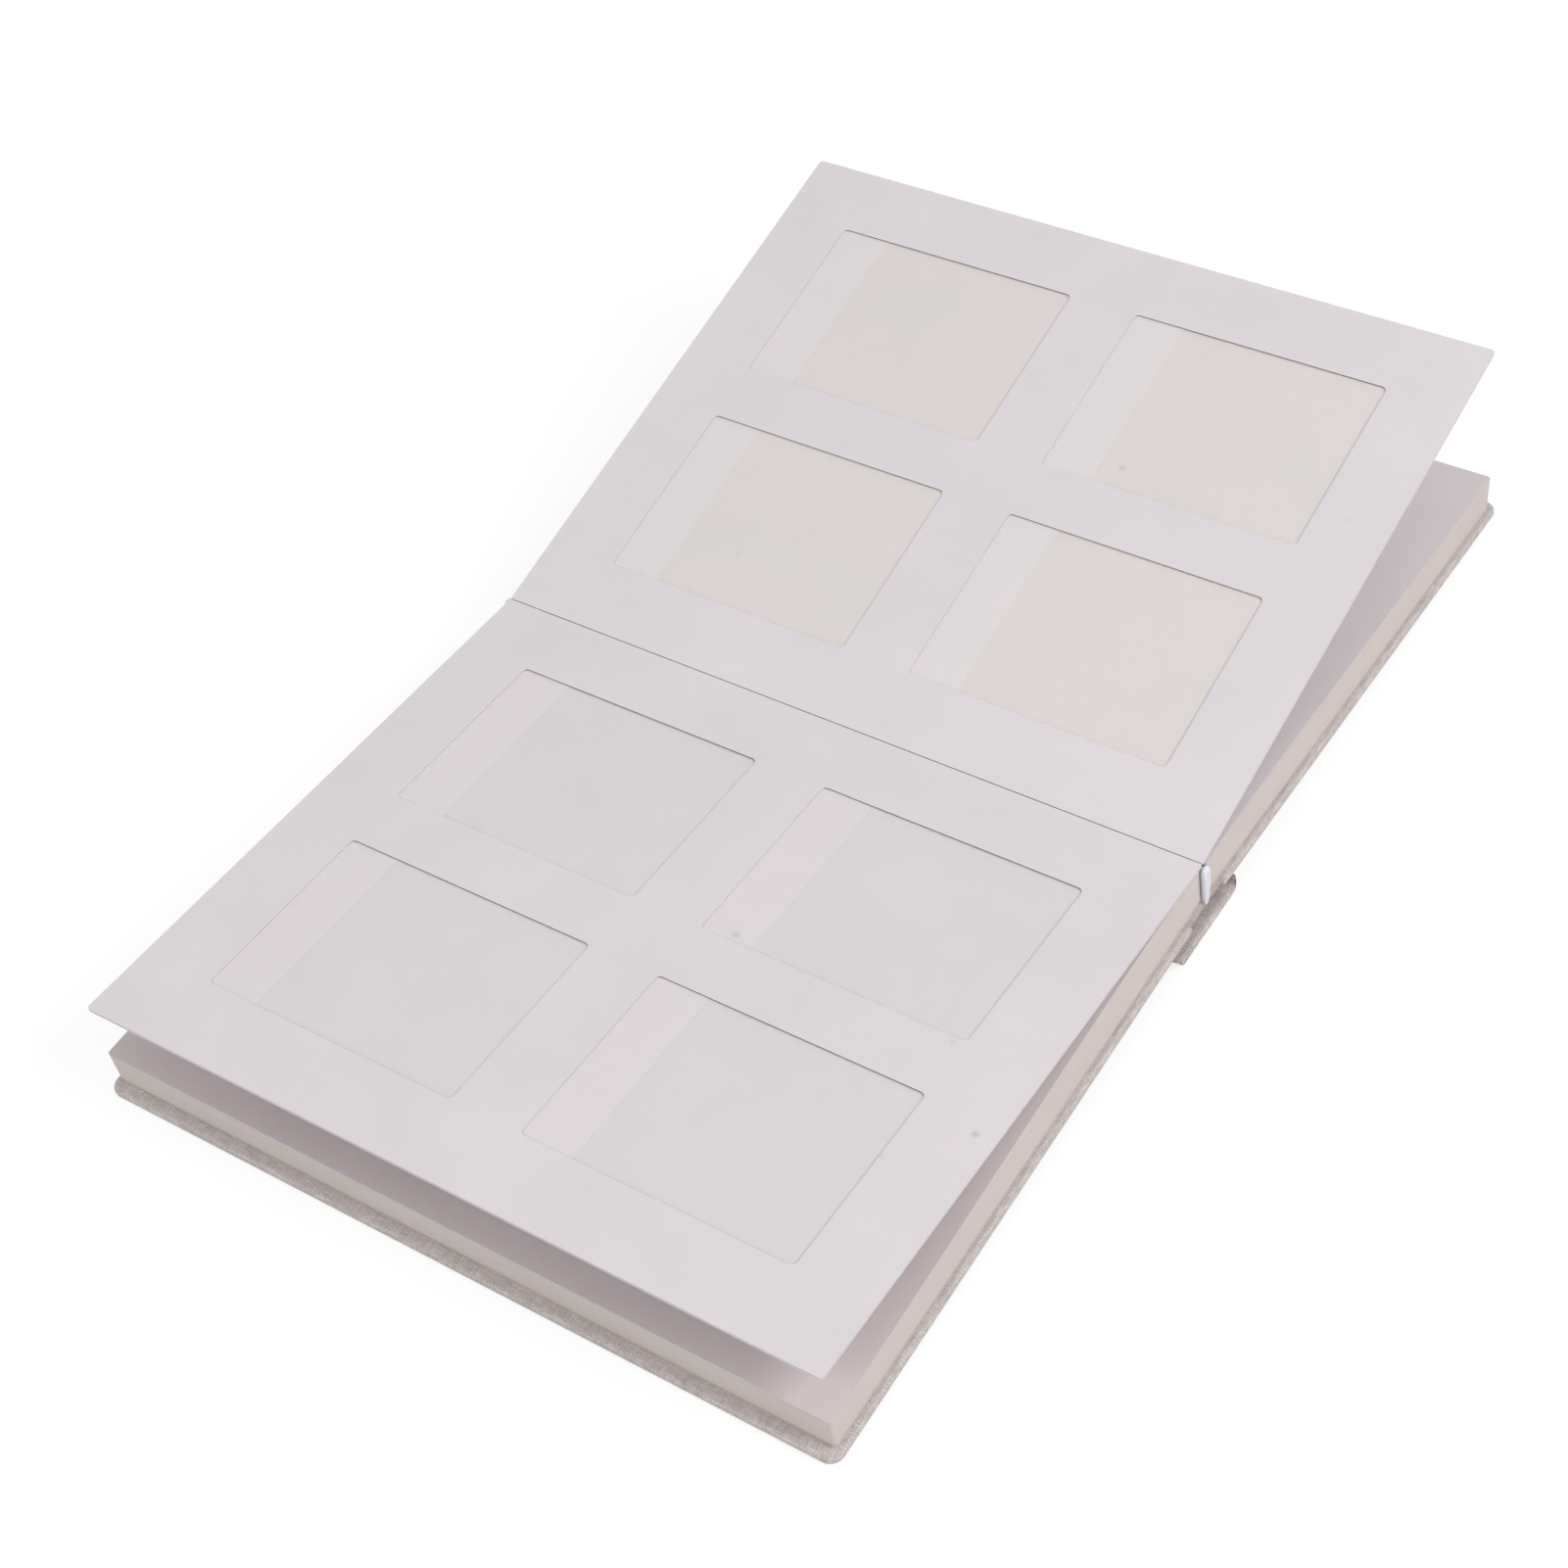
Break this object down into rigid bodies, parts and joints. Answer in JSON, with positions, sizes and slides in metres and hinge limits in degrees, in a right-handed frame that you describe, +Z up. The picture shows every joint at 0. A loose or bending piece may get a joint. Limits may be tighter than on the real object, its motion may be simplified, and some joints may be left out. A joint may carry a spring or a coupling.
{
  "type": "mini photo album",
  "caption": "Small cloth-covered photo album lying open at its middle, with die-cut windows and clear pockets on its card pages; both halves fold shut about the spine.",
  "frame": {"origin": "under the middle of the spine, on the surface that the open album lies on", "axes": "+X from the left page to the right page, +Y from the foot of the pages to their head, +Z up"},
  "size_m": [0.32, 0.1992, 0.0566],
  "materials": {
    "linen": "matte woven cloth",
    "page_card": "smooth matte card",
    "page_block": "cut page edges",
    "endpaper": "smooth matte paper",
    "pocket_strip": "smooth paper",
    "pocket_film": "clear film",
    "greyboard": "raw board",
    "liner_paper": "matte paper",
    "lining_cloth": "open cloth",
    "headband_cloth": "smooth ribbon"
  },
  "bodies": {
    "spine": {"spine_cloth": "linen", "spine_board": "greyboard", "spine_liner": "liner_paper"},
    "right_half": {"right_cover_board": "greyboard", "right_cover_cloth": "linen", "right_endpaper": "endpaper", "right_page_stack": "page_block", "right_back_lining": "lining_cloth", "right_headband_head": "headband_cloth", "right_headband_tail": "headband_cloth", "right_leaf_back_card": "page_card", "right_leaf_core": "page_card", "right_leaf_front_card": "page_card", "right_pocket_film_inner_head": "pocket_film", "right_pocket_strip_inner_head": "pocket_strip", "right_pocket_film_inner_tail": "pocket_film", "right_pocket_strip_inner_tail": "pocket_strip", "right_pocket_film_outer_head": "pocket_film", "right_pocket_strip_outer_head": "pocket_strip", "right_pocket_film_outer_tail": "pocket_film", "right_pocket_strip_outer_tail": "pocket_strip"},
    "left_half": {"left_cover_board": "greyboard", "left_cover_cloth": "linen", "left_endpaper": "endpaper", "left_page_stack": "page_block", "left_back_lining": "lining_cloth", "left_headband_head": "headband_cloth", "left_headband_tail": "headband_cloth", "left_leaf_back_card": "page_card", "left_leaf_core": "page_card", "left_leaf_front_card": "page_card", "left_pocket_film_inner_head": "pocket_film", "left_pocket_strip_inner_head": "pocket_strip", "left_pocket_film_inner_tail": "pocket_film", "left_pocket_strip_inner_tail": "pocket_strip", "left_pocket_film_outer_head": "pocket_film", "left_pocket_strip_outer_head": "pocket_strip", "left_pocket_film_outer_tail": "pocket_film", "left_pocket_strip_outer_tail": "pocket_strip"}
  },
  "joints": [
    {"name": "right_half_fold", "type": "hinge", "parent": "spine", "child": "right_half", "pos_m": [0.00886, 0, 0.01188], "axis": [0, -1, 0], "range_deg": [0, 92.65]},
    {"name": "cover_fold", "type": "hinge", "parent": "right_half", "child": "left_half", "pos_m": [0, 0, 0.02116], "axis": [0, 1, 0], "range_deg": [0, 185.3], "deforming": ["right_leaf_back_card", "right_leaf_core", "right_leaf_front_card", "right_pocket_film_inner_head", "right_pocket_strip_inner_head", "right_pocket_film_inner_tail", "right_pocket_strip_inner_tail", "right_pocket_film_outer_head", "right_pocket_strip_outer_head", "right_pocket_film_outer_tail", "right_pocket_strip_outer_tail", "left_leaf_back_card", "left_leaf_core", "left_leaf_front_card", "left_pocket_film_inner_head", "left_pocket_strip_inner_head", "left_pocket_film_inner_tail", "left_pocket_strip_inner_tail", "left_pocket_film_outer_head", "left_pocket_strip_outer_head", "left_pocket_film_outer_tail", "left_pocket_strip_outer_tail"]}
  ],
  "couplings": [
    {"joint": "right_half_fold", "follows": "cover_fold", "ratio": 0.5}
  ]
}
